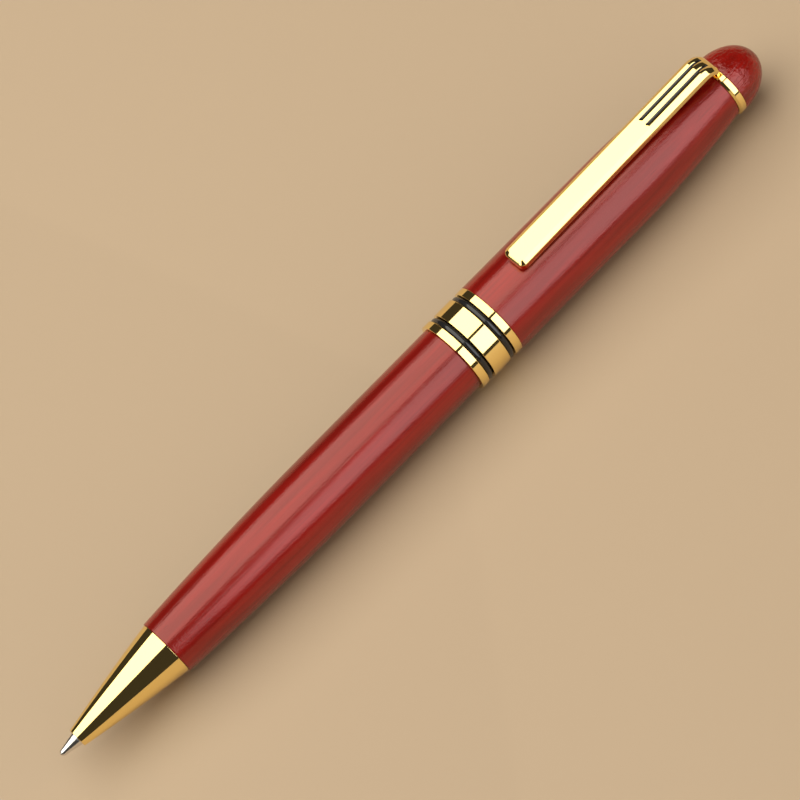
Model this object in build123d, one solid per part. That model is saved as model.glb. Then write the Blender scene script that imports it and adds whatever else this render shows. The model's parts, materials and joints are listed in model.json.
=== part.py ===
from build123d import *
import os
from math import sqrt

# A twist-action ball pen, lying level on its side with the clip straight up.
# +X runs from the writing point to the finial, +Z is up, and the origin is on the
# floor under the middle of the pen. All sizes are in millimetres.
#
# Every piece is drawn on the pen's own axis first, at its distance from the writing
# point while the tip is out, and placed() then moves it into the frame above.

# Lengths that show, from the writing point towards the finial
tip_reach = 3.1
nose_length = 17.0
lower_length = 55.5
trim_width = 1.25
black_width = 1.06
centre_width = 3.09
collar_width = 1.2
finial_length = 6.44

# Refill, of the common metal-bodied kind. Its length sets the length of the pen.
refill_length = 98.1
refill_radius = 2.95
refill_wall = 0.3
refill_nose_radius = 1.17
refill_shoulder_at = 12.5
refill_shoulder_radius = 1.9
refill_cone_length = 7.0
ink_headroom = 4.1
plug_length = 2.5
plug_depth = 3.0
ball_radius = 0.35
ball_lip_share = 0.6
tip_lip_wall = 0.07
tip_cone_length = 5.1
tip_length = 7.0
tip_shank_radius = 0.8
tip_shank_length = 2.0
ink_channel_radius = 0.25

# Return spring round the refill's nose
spring_wire_radius = 0.175
spring_turns = 6
spring_seat_at = 8.0

# Nose cone, from its bores outwards
nose_lip_wall = 0.17
nose_step = 0.13
nose_swell = 0.12
thread_length = 6.0
bushing_length = 7.0

# Front half, from the guide outwards
guide_wall = 0.33
guide_spigot_length = 8.0
guide_tail = 1.7
lower_liner_wall = 0.38
lower_front_wood = 0.58
lower_swell = 0.9
lower_curve_length = 31.8

# Twist mechanism and rear half, from the cam outwards
twist_travel = 4.5
pin_radius = 0.8
pin_root_radius = 0.4
pin_distance = 3.9
carrier_length = 7.9
carrier_play = 0.09
cam_wall = 0.66
cam_overrun = 5.44
coupler_wall = 0.48
coupler_length = 13.0
coupler_flange_height = 0.4
coupler_flange_width = 0.5
upper_liner_wall = 0.33
upper_wood = 0.86
upper_curve_length = 21.1
circlip_width = 0.5
circlip_height = 0.6
circlip_groove_depth = 0.1
circlip_gap = 1.4
rear_space = 3.7

# Steps between the barrels and what stands beside them
band_step = 0.03
black_recess = 0.16
collar_step = 0.38
finial_step = 0.04

# Fastening of the finial
top_bushing_length = 11.0
top_bushing_wall = 1.48
upper_rear_wood = 1.3
stud_radius = 1.5
stud_depth_in_bushing = 8.0
stud_depth_in_finial = 3.0

# Clip, with its heights taken from the straight part of the rear barrel
clip_length = 38.8
clip_width = 3.95
clip_depth = 1.5
clip_front_rise = 1.78
clip_root_rise = 2.8
clip_shoulder_length = 3.2
clip_corner_radius = 0.9
clip_tang_thickness = 0.7
clip_tang_width = 2.6
clip_tang_depth = 1.2
clip_neck_height = 0.6
clip_pad_radius = 1.5
clip_pad_width = 2.9
clip_pad_setback = 2.0
clip_groove_width = 0.28
clip_groove_depth = 0.2
clip_groove_length = 8.6
clip_groove_spacing = 1.3

# Clearances: cemented or pressed, running, and the looser fits
seat = 0.02
running = 0.04
refill_play = 0.12
nose_bore_play = 0.08
ball_play = 0.02
tang_play = 0.12
clip_gap = 0.05

# Edge breaks
metal_edge = 0.18
wood_edge = 0.12

# Radii of the front half
refill_bore = refill_radius + refill_play
guide_radius = refill_bore + guide_wall
liner_bore = guide_radius + seat
lower_liner_radius = liner_bore + lower_liner_wall
lower_wood_bore = lower_liner_radius + seat
lower_front_radius = lower_wood_bore + lower_front_wood
lower_radius = lower_front_radius + lower_swell
nose_bore = refill_nose_radius + nose_bore_play
nose_front_radius = nose_bore + nose_lip_wall
nose_rear_radius = lower_front_radius - nose_step
spring_chamber = refill_shoulder_radius + refill_play
spring_coil_radius = (refill_nose_radius + spring_chamber) / 2

# Radii of the rear half
cam_bore = guide_radius + running
cam_radius = cam_bore + cam_wall
coupler_bore = cam_radius + seat
coupler_radius = coupler_bore + coupler_wall
coupler_flange_radius = coupler_radius + coupler_flange_height
upper_liner_bore = coupler_radius + seat
upper_liner_radius = upper_liner_bore + upper_liner_wall
upper_wood_bore = upper_liner_radius + seat
upper_radius = upper_wood_bore + upper_wood
band_radius = upper_radius + band_step
black_radius = band_radius - black_recess
circlip_radius = guide_radius + circlip_height
chamber_radius = cam_radius + refill_play
stud_bore = stud_radius + seat
top_bushing_radius = stud_bore + top_bushing_wall
top_bushing_bore = top_bushing_radius + seat
upper_rear_radius = top_bushing_bore + upper_rear_wood
collar_radius = upper_rear_radius + collar_step
finial_radius = collar_radius - finial_step
carrier_radius = refill_bore - carrier_play
pin_slot_radius = pin_radius + running

# Places along the pen, from the writing point
nose_front = tip_reach
nose_rear = nose_front + nose_length
band_front = nose_rear + lower_length
front_black_at = band_front + trim_width
centre_at = front_black_at + black_width
rear_black_at = centre_at + centre_width
rear_trim_at = rear_black_at + black_width
band_rear = rear_trim_at + trim_width
refill_cone_end = refill_shoulder_at + refill_cone_length
pin_at = refill_length + seat + pin_distance
cam_front = centre_at + running
cam_rear = pin_at + twist_travel + cam_overrun
guide_rear = cam_rear + guide_tail
top_bushing_at = guide_rear + rear_space
collar_at = top_bushing_at + top_bushing_length
finial_at = collar_at + collar_width
pen_length = finial_at + finial_length
clip_tang_at = collar_at + (collar_width - clip_tang_thickness) / 2
clip_root_at = clip_tang_at - clip_shoulder_length
clip_front_at = clip_tang_at - clip_length
axis_height = max(band_radius, lower_radius)


def turned(*outline):
    """A solid turned about the pen's axis from an outline of points or edges."""
    if isinstance(outline[0], tuple):
        outline = [Polyline(*outline, close=True)]
    edges = [edge for line in outline for edge in line.edges()]
    return revolve(make_face(edges), Axis.X)


def ring(start, end, inner, outer):
    """A plain ring or sleeve between two distances along the pen."""
    return turned((start, inner), (start, outer), (end, outer), (end, inner))


def softened_ring(start, end, inner, outer, edge):
    """A ring whose two outer edges are rounded by the given radius."""
    plain = ring(start, end, inner, outer)
    rims = plain.edges().filter_by(GeomType.CIRCLE).filter_by(lambda e: abs(e.radius - outer) < 1e-6)
    return fillet(rims, edge)


def ball_at(distance, radius):
    """A ball on the pen's axis."""
    return Pos(distance, 0, 0) * Sphere(radius)


def spoke(distance, inner, outer, radius):
    """A round bar that points straight down from the pen's axis."""
    return Pos(distance, 0, -(inner + outer) / 2) * Cylinder(radius, outer - inner)


def placed(solid):
    """Moves a piece from the pen's own axis to its place in the frame."""
    return Pos(-pen_length / 2, 0, axis_height) * solid


def lower_wood_radius(distance):
    """Outer radius of the front wooden barrel: straight, then a long arc down to the nose."""
    into_curve = max(0.0, nose_rear + lower_curve_length - distance)
    return lower_radius - arc_drop(into_curve, lower_curve_length, lower_radius - lower_front_radius)


def upper_wood_radius(distance):
    """Outer radius of the rear wooden barrel: straight, then a long arc down to the collar."""
    into_curve = max(0.0, distance - (collar_at - upper_curve_length))
    return upper_radius - arc_drop(into_curve, upper_curve_length, upper_radius - upper_rear_radius)


def arc_drop(along, run, drop):
    """How far an arc has dropped after a length, if it drops by drop over the whole run."""
    radius = (run * run + drop * drop) / (2 * drop)
    return radius - sqrt(radius * radius - along * along)


# Front half: nose cone, wood, lining, trim and the fixed guide


def nose_cone():
    """Hollow metal cone that screws into the front barrel and seats the return spring."""
    shank_end = nose_rear + thread_length
    side = ThreePointArc(
        (nose_front, nose_front_radius),
        ((nose_front + nose_rear) / 2, (nose_front_radius + nose_rear_radius) / 2 + nose_swell),
        (nose_rear, nose_rear_radius),
    )
    rest = Polyline(
        (nose_rear, nose_rear_radius),
        (nose_rear, guide_radius),
        (shank_end, guide_radius),
        (shank_end, refill_bore),
        (refill_cone_end, refill_bore),
        (refill_shoulder_at, spring_chamber),
        (spring_seat_at, spring_chamber),
        (spring_seat_at, nose_bore),
        (nose_front, nose_bore),
        (nose_front, nose_front_radius),
    )
    return turned(side, rest)


def lower_bushing():
    """Threaded insert in the front barrel that takes the nose cone's shank."""
    return ring(nose_rear + seat, nose_rear + bushing_length, liner_bore, lower_liner_radius)


def lower_liner():
    """Thin brass tube glued inside the front barrel."""
    return ring(nose_rear + bushing_length + seat, band_front, liner_bore, lower_liner_radius)


def lower_barrel():
    """Front wooden barrel, straight towards the band and curving in towards the nose."""
    start = nose_rear + seat
    curve_end = nose_rear + lower_curve_length
    front = (start, lower_wood_radius(start) - wood_edge)
    shoulder = (start + wood_edge, lower_wood_radius(start + wood_edge))
    curve = TangentArc((curve_end, lower_radius), shoulder, tangent=(-1, 0))
    rest = Polyline(
        (curve_end, lower_radius),
        (band_front, lower_radius),
        (band_front, lower_wood_bore),
        (start, lower_wood_bore),
        front,
        shoulder,
    )
    return turned(curve, rest)


def front_trim_ring():
    """Narrow metal ring, clamped between the front barrel and the guide's flange."""
    return softened_ring(band_front, front_black_at, liner_bore, band_radius, metal_edge)


def black_ring(start):
    """Black ring with a rounded rim, seated round the mechanism."""
    end = start + black_width
    bore = coupler_radius + seat
    rim = ThreePointArc(
        (start, black_radius - metal_edge),
        ((start + end) / 2, black_radius),
        (end, black_radius - metal_edge),
    )
    rest = Polyline(
        (end, black_radius - metal_edge),
        (end, bore),
        (start, bore),
        (start, black_radius - metal_edge),
    )
    return turned(rim, rest)


def guide_tube():
    """Fixed tube that carries the twist mechanism. Its slot lets the pin move only lengthways."""
    flange_end = centre_at
    groove_at = cam_rear + running
    groove_end = groove_at + circlip_width + seat
    groove_radius = guide_radius - circlip_groove_depth
    tube = turned(
        (band_front - guide_spigot_length, refill_bore),
        (band_front - guide_spigot_length, guide_radius),
        (front_black_at, guide_radius),
        (front_black_at, coupler_radius),
        (flange_end, coupler_radius),
        (flange_end, guide_radius),
        (groove_at, guide_radius),
        (groove_at, groove_radius),
        (groove_end, groove_radius),
        (groove_end, guide_radius),
        (guide_rear, guide_radius),
        (guide_rear, refill_bore),
    )
    reach = cam_radius - pin_root_radius
    depth = -(cam_radius + pin_root_radius) / 2
    slot = Pos(pin_at + twist_travel / 2, 0, depth) * Box(twist_travel, 2 * pin_slot_radius, reach)
    ends = [
        spoke(pin_at + offset, pin_root_radius, cam_radius, pin_slot_radius)
        for offset in (0, twist_travel)
    ]
    return tube - slot - ends


def circlip():
    """Open spring ring in the guide's groove that keeps the cam sleeve on."""
    start = cam_rear + running
    inner = guide_radius - circlip_groove_depth + seat
    whole = ring(start, start + circlip_width, inner, circlip_radius)
    gap = Pos(start + circlip_width / 2, 0, circlip_radius) * Box(
        2 * circlip_width, circlip_gap, 2 * circlip_radius
    )
    return whole - gap


def return_spring():
    """Compression spring between its seat in the nose and the refill's shoulder."""
    first = spring_seat_at + spring_wire_radius + seat
    last = refill_shoulder_at - spring_wire_radius - seat
    height = last - first
    coil = Helix(height / spring_turns, height, spring_coil_radius)
    wire = Plane(origin=coil @ 0, z_dir=coil % 0) * Circle(spring_wire_radius)
    return Pos(first, 0, 0) * Rot(0, 90, 0) * sweep(wire, path=coil, is_frenet=True)


# Refill


def refill_tube():
    """Metal ink tube of the refill."""
    start = refill_cone_end + seat
    return ring(start, refill_length - plug_length, refill_radius - refill_wall, refill_radius)


def refill_nose():
    """Front fitting of the refill: slim nose, spring shoulder, cone and spigot."""
    spigot_radius = refill_radius - refill_wall - seat
    spigot_end = refill_cone_end + plug_depth
    socket_radius = tip_shank_radius + seat
    socket_end = tip_length + tip_shank_length + seat
    return turned(
        (tip_length + seat, socket_radius),
        (tip_length + seat, refill_nose_radius),
        (refill_shoulder_at, refill_nose_radius),
        (refill_shoulder_at, refill_shoulder_radius),
        (refill_cone_end, refill_radius),
        (refill_cone_end, spigot_radius),
        (spigot_end, spigot_radius),
        (spigot_end, ink_channel_radius),
        (socket_end, ink_channel_radius),
        (socket_end, socket_radius),
    )


def writing_tip():
    """Steel cone that holds the writing ball, with a rolled lip and an ink channel."""
    lip_at = ball_lip_share * ball_radius
    lip_radius = ball_radius + ball_play + tip_lip_wall
    shank_end = tip_length + tip_shank_length
    body = turned(
        (lip_at, 0),
        (lip_at, lip_radius),
        (tip_cone_length, refill_nose_radius),
        (tip_length, refill_nose_radius),
        (tip_length, tip_shank_radius),
        (shank_end, tip_shank_radius),
        (shank_end, 0),
    )
    channel = ring(ball_radius, shank_end + 1, 0, ink_channel_radius)
    return body - ball_at(ball_radius, ball_radius + ball_play) - channel


def writing_ball():
    """The ball that rolls the ink on."""
    return ball_at(ball_radius, ball_radius)


def ink_column():
    """Ink that fills the front of the refill tube."""
    start = refill_cone_end + plug_depth + seat
    end = refill_length - plug_length - plug_depth - ink_headroom
    return ring(start, end, 0, refill_radius - refill_wall - seat)


def refill_end_plug():
    """Vented plug that closes the refill's rear end."""
    start = refill_length - plug_length
    inner = refill_radius - refill_wall - seat
    return turned(
        (start - plug_depth, ink_channel_radius),
        (start - plug_depth, inner),
        (start + seat, inner),
        (start + seat, refill_radius),
        (refill_length, refill_radius),
        (refill_length, ink_channel_radius),
    )


def carrier():
    """Plunger behind the refill that the pin pulls back and pushes forward."""
    start = refill_length + seat
    plunger = ring(start, start + carrier_length, 0, carrier_radius)
    return plunger - spoke(pin_at, pin_root_radius - seat, carrier_radius + 1, pin_radius + seat)


def carrier_pin():
    """Cross pin, through the guide's straight slot into the cam sleeve's helical one."""
    flush = sqrt(cam_radius * cam_radius - pin_radius * pin_radius)
    return spoke(pin_at, pin_root_radius, flush - running, pin_radius)


# Rear half: cam, trim, wood, clip and finial


def cam_sleeve():
    """Sleeve that turns with the rear barrel. Its helical slot drives the pin over half a turn."""
    sleeve = ring(cam_front, cam_rear, cam_bore, cam_radius)
    middle = (cam_bore + cam_radius) / 2
    depth = cam_radius - cam_bore + 1
    helix = Helix(2 * twist_travel, twist_travel, middle, lefthand=True)
    section = Plane(origin=helix @ 0, x_dir=(1, 0, 0), z_dir=helix % 0)
    cutter = sweep(section * Rectangle(depth, 2 * pin_slot_radius), path=helix, is_frenet=True)
    slot = Pos(pin_at, 0, 0) * Rot(0, 90, 0) * cutter
    reach = [middle - depth / 2, middle + depth / 2]
    front_end = spoke(pin_at, reach[0], reach[1], pin_slot_radius)
    rear_end = Rot(180, 0, 0) * spoke(pin_at + twist_travel, reach[0], reach[1], pin_slot_radius)
    return sleeve - slot - front_end - rear_end


def coupler():
    """Brass sleeve that joins the cam sleeve to the rear lining and carries the trim."""
    start = cam_front
    return turned(
        (start, coupler_bore),
        (start, coupler_flange_radius),
        (start + coupler_flange_width, coupler_flange_radius),
        (start + coupler_flange_width, coupler_radius),
        (start + coupler_length, coupler_radius),
        (start + coupler_length, coupler_bore),
    )


def centre_sleeve():
    """Wide metal sleeve of the band, counterbored for the coupler's flange."""
    sleeve = softened_ring(cam_front, rear_black_at, upper_liner_bore, band_radius, metal_edge)
    recess_end = cam_front + coupler_flange_width + seat
    return sleeve - ring(cam_front - 1, recess_end, upper_liner_bore - 1, coupler_flange_radius + seat)


def rear_trim_ring():
    """Narrow metal ring between the rear black ring and the rear barrel."""
    return softened_ring(rear_trim_at, band_rear, upper_liner_bore, band_radius, metal_edge)


def upper_liner():
    """Thin brass tube glued inside the rear barrel."""
    return ring(band_rear + seat, cam_rear, upper_liner_bore, upper_liner_radius)


def upper_barrel():
    """Rear wooden barrel, straight behind the band and curving in towards the collar."""
    start = band_rear
    curve_start = collar_at - upper_curve_length
    liner_end = cam_rear + seat
    shoulder = (collar_at - wood_edge, upper_wood_radius(collar_at - wood_edge))
    curve = TangentArc((curve_start, upper_radius), shoulder, tangent=(1, 0))
    rest = Polyline(
        (curve_start, upper_radius),
        (start + wood_edge, upper_radius),
        (start, upper_radius - wood_edge),
        (start, upper_wood_bore),
        (liner_end, upper_wood_bore),
        (liner_end, chamber_radius),
        (top_bushing_at, chamber_radius),
        (top_bushing_at, top_bushing_bore),
        (collar_at, top_bushing_bore),
        (collar_at, upper_rear_radius - wood_edge),
        shoulder,
    )
    return turned(curve, rest)


def top_bushing():
    """Threaded insert in the rear end of the barrel that takes the finial's stud."""
    return ring(top_bushing_at + seat, collar_at, stud_bore, top_bushing_radius)


def finial_stud():
    """Stud that pulls the finial and the collar down onto the rear barrel."""
    return ring(
        collar_at - stud_depth_in_bushing,
        finial_at + stud_depth_in_finial,
        0,
        stud_radius,
    )


def clip_collar():
    """Metal ring under the finial, with a slot in its rim that holds the clip's tang."""
    disc = softened_ring(collar_at + seat, finial_at, stud_bore, collar_radius, metal_edge)
    floor = collar_radius - clip_tang_depth - tang_play
    slot_width = clip_tang_width + 2 * tang_play
    slot_thickness = clip_tang_thickness + 2 * tang_play
    middle = clip_tang_at + clip_tang_thickness / 2
    slot = Pos(middle, 0, floor + collar_radius) * Box(slot_thickness, slot_width, 2 * collar_radius)
    return disc - slot


def clip_height(distance):
    """Height of the clip's outer face over the pen's axis, rising evenly to its root."""
    share = (distance - clip_front_at) / (clip_root_at - clip_front_at)
    return upper_radius + clip_front_rise + share * (clip_root_rise - clip_front_rise)


def clip():
    """Spring clip: a long flat arm, a pad under its front end and a tang bent down at its root."""
    tang_rear = clip_tang_at + clip_tang_thickness
    tang_floor = collar_radius - clip_tang_depth
    inner_root = clip_root_at - clip_tang_thickness
    neck = collar_radius + clip_neck_height
    outer_bend = TangentArc((clip_root_at, clip_height(clip_root_at)), (tang_rear, neck), tangent=(1, 0))
    inner_bend = TangentArc(
        (inner_root, clip_height(inner_root) - clip_depth), (clip_tang_at, neck), tangent=(1, 0)
    )
    side = make_face(
        outer_bend.edges()
        + inner_bend.edges()
        + Polyline(
            (tang_rear, neck),
            (tang_rear, tang_floor),
            (clip_tang_at, tang_floor),
            (clip_tang_at, neck),
        ).edges()
        + Polyline(
            (inner_root, clip_height(inner_root) - clip_depth),
            (clip_front_at, clip_height(clip_front_at) - clip_depth),
            (clip_front_at, clip_height(clip_front_at)),
            (clip_root_at, clip_height(clip_root_at)),
        ).edges()
    )
    arm = extrude(Plane.XZ * side, amount=clip_width / 2, both=True)
    corners = arm.edges().filter_by(Axis.Z).filter_by_position(Axis.X, clip_front_at - 1, clip_front_at + 1)
    arm = fillet(corners, clip_corner_radius)
    waist = 2 * (clip_neck_height + clip_tang_depth)
    trimmed = arm - [
        Pos(clip_tang_at + clip_tang_thickness / 2, side * clip_width / 2, collar_radius)
        * Box(3 * clip_tang_thickness, clip_width - clip_tang_width, waist)
        for side in (-1, 1)
    ]
    groove_middle = clip_root_at - clip_groove_length / 2
    grooves = [
        Pos(groove_middle, offset, clip_height(groove_middle))
        * Rot(0, -clip_slope(), 0)
        * Box(clip_groove_length, clip_groove_width, 2 * clip_groove_depth)
        for offset in (-clip_groove_spacing / 2, clip_groove_spacing / 2)
    ]
    return clip_pad() + (trimmed - grooves)


def clip_slope():
    """Slope of the clip's arm against the pen's axis, in degrees."""
    rise = clip_root_rise - clip_front_rise
    return Vector(1, 0, 0).get_angle(Vector(clip_root_at - clip_front_at, 0, rise))


def clip_pad():
    """Rounded pad under the clip's front end, just clear of the wood."""
    middle = clip_front_at + clip_pad_setback
    top = clip_height(middle) - clip_depth / 2
    bottom = upper_wood_radius(middle) + clip_gap
    drop = bottom + clip_pad_radius
    pad = Pos(middle, 0, drop) * Rot(90, 0, 0) * Cylinder(clip_pad_radius, clip_pad_width)
    above = Pos(middle, 0, top + clip_pad_radius) * Box(
        4 * clip_pad_radius, 2 * clip_pad_width, 2 * clip_pad_radius
    )
    return pad - above


def finial():
    """Wooden dome on the end of the pen, hollowed for its stud."""
    dome = EllipticalCenterArc((finial_at, 0), finial_length, finial_radius, start_angle=0, arc_size=90)
    rest = Polyline((finial_at, finial_radius), (finial_at, 0), (finial_at + finial_length, 0))
    socket = ring(finial_at - 1, finial_at + stud_depth_in_finial + seat, 0, stud_bore)
    return turned(dome, rest) - socket


pieces = {
    "nose_cone": nose_cone(),
    "lower_bushing": lower_bushing(),
    "lower_liner": lower_liner(),
    "lower_barrel": lower_barrel(),
    "front_trim_ring": front_trim_ring(),
    "front_black_ring": black_ring(front_black_at),
    "guide_tube": guide_tube(),
    "circlip": circlip(),
    "return_spring": return_spring(),
    "refill_tube": refill_tube(),
    "refill_nose": refill_nose(),
    "writing_tip": writing_tip(),
    "writing_ball": writing_ball(),
    "ink_column": ink_column(),
    "refill_end_plug": refill_end_plug(),
    "carrier": carrier(),
    "carrier_pin": carrier_pin(),
    "cam_sleeve": cam_sleeve(),
    "coupler": coupler(),
    "centre_sleeve": centre_sleeve(),
    "rear_black_ring": black_ring(rear_black_at),
    "rear_trim_ring": rear_trim_ring(),
    "upper_liner": upper_liner(),
    "upper_barrel": upper_barrel(),
    "top_bushing": top_bushing(),
    "finial_stud": finial_stud(),
    "clip_collar": clip_collar(),
    "clip": clip(),
    "finial": finial(),
}

os.makedirs("parts", exist_ok=True)
for name, piece in pieces.items():
    solid = placed(piece)
    export_step(solid, f"parts/{name}.step")
    box = solid.bounding_box()
    print(f"{name}: {solid.volume:.3f} mm3, {box.min.X:.2f} to {box.max.X:.2f}, top {box.max.Z:.2f}")
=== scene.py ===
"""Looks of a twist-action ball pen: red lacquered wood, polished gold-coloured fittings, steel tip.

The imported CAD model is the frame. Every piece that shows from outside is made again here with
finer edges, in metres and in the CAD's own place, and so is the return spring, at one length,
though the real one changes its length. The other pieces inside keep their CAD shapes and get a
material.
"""

import json
from math import cos, pi, radians, sin

import bpy
import numpy as np
from bpy.props import FloatProperty, FloatVectorProperty, IntProperty, PointerProperty
from mathutils import Matrix, Vector


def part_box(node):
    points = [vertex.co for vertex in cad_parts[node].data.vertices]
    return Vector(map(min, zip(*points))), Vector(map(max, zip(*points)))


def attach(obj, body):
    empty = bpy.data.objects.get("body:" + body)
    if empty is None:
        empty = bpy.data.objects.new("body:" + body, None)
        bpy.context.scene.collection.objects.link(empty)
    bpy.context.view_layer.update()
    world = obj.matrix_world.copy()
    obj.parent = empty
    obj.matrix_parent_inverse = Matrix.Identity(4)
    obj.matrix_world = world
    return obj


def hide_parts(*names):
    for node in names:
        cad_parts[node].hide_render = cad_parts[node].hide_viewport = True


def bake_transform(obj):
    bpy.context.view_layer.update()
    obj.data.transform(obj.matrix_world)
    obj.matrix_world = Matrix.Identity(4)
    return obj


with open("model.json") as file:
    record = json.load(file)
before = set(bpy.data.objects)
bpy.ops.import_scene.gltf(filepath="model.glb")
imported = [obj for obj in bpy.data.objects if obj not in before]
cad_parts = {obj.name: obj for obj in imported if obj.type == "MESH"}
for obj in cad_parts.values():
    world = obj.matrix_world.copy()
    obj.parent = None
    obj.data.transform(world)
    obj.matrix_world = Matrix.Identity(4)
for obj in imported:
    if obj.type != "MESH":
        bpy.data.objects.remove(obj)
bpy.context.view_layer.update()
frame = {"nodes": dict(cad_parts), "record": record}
MM = 0.001
# Rounding of the edges that are given none
SHARP = 0.012 * MM

bl_info = {
    "name": "Twist Pen",
    "version": (1, 0, 0),
    "blender": (4, 5, 0),
    "location": "3D View > Sidebar > Twist Pen",
    "description": "Builds the looks of a wooden twist pen round its CAD model",
    "category": "Object",
}


def ends(node):
    """Front end, rear end and outer radius of a CAD node turned about the pen's axis."""
    low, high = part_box(node)
    return low.x, high.x, (high.y - low.y) / 2


AXIS_Z = sum(corner.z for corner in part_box("centre_sleeve")) / 2
TIP_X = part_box("writing_ball")[0].x


def length_prop(description, default):
    """A size in metres, given in millimetres."""
    return FloatProperty(
        description=description, default=default * MM,
        unit="LENGTH", subtype="DISTANCE", precision=5,
    )


def angle_prop(description, default):
    """An angle in radians, given in degrees."""
    return FloatProperty(
        description=description, default=radians(default), unit="ROTATION", subtype="ANGLE"
    )


def colour_prop(description, default):
    """A colour without alpha."""
    return FloatVectorProperty(
        description=description, default=default, subtype="COLOR", size=3, min=0, max=1
    )


def share_prop(description, default, top=1.0):
    """A plain number between 0 and a top value."""
    return FloatProperty(description=description, default=default, min=0, max=top)


class PenSizes(bpy.types.PropertyGroup):
    """Sizes of the details that the CAD model's boxes don't give."""

    segments: IntProperty(description="Faces round a turned piece", default=192, min=24)
    refill_play: length_prop("Gap round the refill in its bore", 0.12)
    nose_play: length_prop("Gap round the refill's tip in the nose", 0.08)
    seat: length_prop("Gap between seated pieces", 0.02)
    spring_play: length_prop("Gap round the return spring", 0.25)
    guide_wall: length_prop("Wall of the guide and of the nose cone's shank", 0.33)
    lip_wall: length_prop("Wall of the nose cone at its mouth", 0.17)
    nose_swell: length_prop("How far the nose cone's side bulges", 0.12)
    nose_edge: length_prop("Rounding of the nose cone's rear rim", 0.07)
    front_wood: length_prop("Wall of the front barrel beside the nose", 0.58)
    front_curve: length_prop("Length of the front barrel's curve", 31.8)
    rear_curve: length_prop("Length of the rear barrel's curve", 21.1)
    rear_wood: length_prop("Wall of the rear barrel at the collar", 1.3)
    wood_edge: length_prop("Rounding of the barrels' ends", 0.1)
    ring_edge: length_prop("Rounding of the band's metal rims", 0.09)
    clip_face: length_prop("Width of the clip's flat face", 2.7)
    clip_bevel: length_prop("Drop of the bevel along the clip", 0.45)
    clip_corner: length_prop("Radius of the clip's front corners", 0.95)
    clip_depth: length_prop("Thickness of the clip's arm", 1.5)
    tang_depth: length_prop("Thickness of the clip's tang", 0.7)
    tang_width: length_prop("Width of the clip's tang", 2.6)
    tang_reach: length_prop("How deep the clip's tang sits in the collar", 1.2)
    clip_bend: length_prop("Outer radius of the bend at the clip's root", 3.1)
    clip_crest: length_prop("Where the arm's rise ends, from the clip's rear", 3.9)
    clip_front_height: length_prop("Front of the clip's face over the axis", 7.61)
    groove_width: length_prop("Width of the two lines cut in the clip", 0.34)
    groove_depth: length_prop("Depth of the two lines cut in the clip", 0.14)
    groove_length: length_prop("Length of the two lines cut in the clip", 12.2)
    groove_spacing: length_prop("Distance between the two lines", 1.3)
    spring_turns: share_prop("Turns of the return spring", 6, 20)
    spring_wire: length_prop("Radius of the return spring's wire", 0.175)


class PenFinishes(bpy.types.PropertyGroup):
    """Colours and polish."""

    wood_light: colour_prop("Stained wood between the grain", (0.19, 0.0045, 0.0025))
    wood_dark: colour_prop("Stained wood in the grain", (0.1, 0.0028, 0.0015))
    wood_pore: colour_prop("Pores and end grain", (0.03, 0.003, 0.002))
    lacquer_tint: colour_prop("Colour of what the lacquer mirrors", (1.0, 0.5, 0.46))
    lacquer: share_prop("Roughness of the lacquer on the barrels", 0.18)
    gold: colour_prop("Polished plating", (1.0, 0.76, 0.285))
    gold_polish: share_prop("Roughness of the plating", 0.04)
    black: colour_prop("Black rings", (0.008, 0.008, 0.009))
    brass: colour_prop("Turned brass inside", (0.78, 0.58, 0.27))
    steel: colour_prop("Ground steel", (0.74, 0.72, 0.7))
    plastic: colour_prop("Moulded white plastic", (0.78, 0.78, 0.75))
    ink: colour_prop("Ink in the refill", (0.008, 0.01, 0.05))


class StageLook(bpy.types.PropertyGroup):
    """Floor, lights and camera."""

    floor: colour_prop("Matt table top", (0.36, 0.27, 0.18))
    floor_reach: length_prop("From its middle to its edges", 800)
    backdrop: colour_prop("What the camera sees past the table", (0.62, 0.46, 0.3))
    main_light: share_prop("Brightness of the large panel", 2.1, 50)
    main_colour: colour_prop("Colour of the large panel", (1.0, 0.97, 0.88))
    main_fill: share_prop("Extra light from the panel on matt surfaces", 1.5, 50)
    panel_tilt: angle_prop("From straight above to the far side", 15.5)
    panel_distance: length_prop("From the pen's axis to the large panel", 600)
    panel_ahead: length_prop("Shift of the large panel towards the nose", 300)
    panel_length: length_prop("Size of the large panel along the pen", 1200)
    panel_width: length_prop("Size of the large panel across the pen", 888)
    side_light: share_prop("Brightness of the round lamp, as mirrored", 2.0, 50)
    side_colour: colour_prop("Colour of the round lamp, as mirrored", (0.95, 0.97, 1.0))
    side_fill: share_prop("Light from the round lamp on matt surfaces", 2.3, 50)
    fill_colour: colour_prop("Colour of that light", (1.0, 0.82, 0.62))
    lamp_tilt: angle_prop("From straight above to the near side", 54)
    lamp_turn: angle_prop("From square on towards the finial's end", 22)
    lamp_distance: length_prop("From the pen to the round lamp", 800)
    lamp_radius: length_prop("Radius of the round lamp, as mirrored", 416)
    core_radius: length_prop("Radius of its brighter middle, as mirrored", 248)
    fill_radius: length_prop("Radius of the lamp for matt surfaces", 528)
    room: colour_prop("Dim room round the lights", (0.045, 0.04, 0.034))
    camera_turn: angle_prop("Roll of the camera", -31.12)
    camera_tilt: angle_prop("From straight above to the near side", 29.5)
    camera_distance: length_prop("From the pen's axis to the camera", 490)
    camera_ahead: length_prop("From the writing point forward to the camera", 5.04)
    aim_along: length_prop("Aim from the writing point along the pen", 66.36)
    aim_up: length_prop("Aim beside the pen's axis", 1.084)
    lens: share_prop("Focal length in millimetres", 163.35, 1000)


# Outlines and surfaces


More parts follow.
